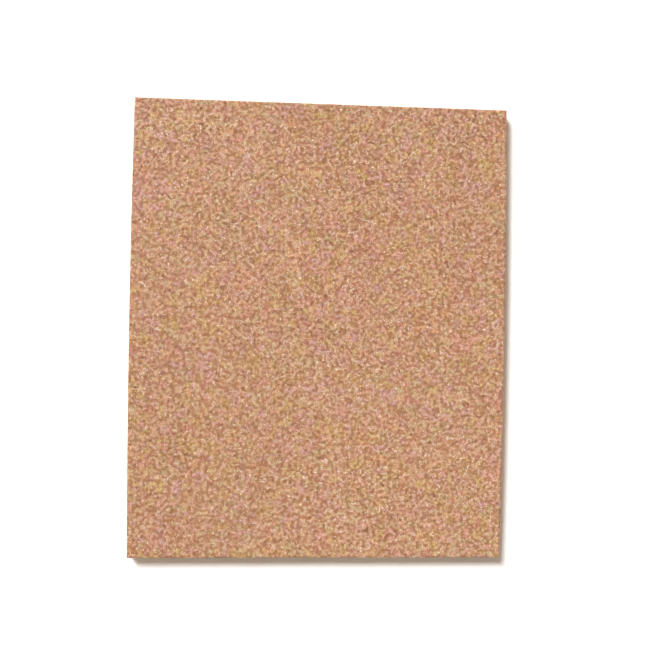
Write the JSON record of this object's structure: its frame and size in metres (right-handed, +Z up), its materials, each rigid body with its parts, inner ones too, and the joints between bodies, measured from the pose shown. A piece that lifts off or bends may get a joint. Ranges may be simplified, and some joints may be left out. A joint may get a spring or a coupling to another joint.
{
  "type": "sanding block",
  "caption": "Thin flexible sanding block: a soft foam pad with coarse tan mineral grit bonded by resin to one face, lying grit side up.",
  "frame": {"origin": "on the surface that the pad lies on, under the centre of the pad", "axes": "+X across the pad's width, +Y along its length, +Z up, out of the grit side"},
  "size_m": [0.116, 0.14, 0.005],
  "materials": {
    "foam": "open-cell polyurethane foam, cut sides",
    "make_resin": "cured amber resin",
    "grain": "crushed tan and brown mineral, sharp facets",
    "size_resin": "thin amber resin, half gloss"
  },
  "bodies": {
    "root": {"foam_pad": "foam", "make_coat": "make_resin", "abrasive_grain": "grain", "size_coat": "size_resin"}
  },
  "joints": []
}
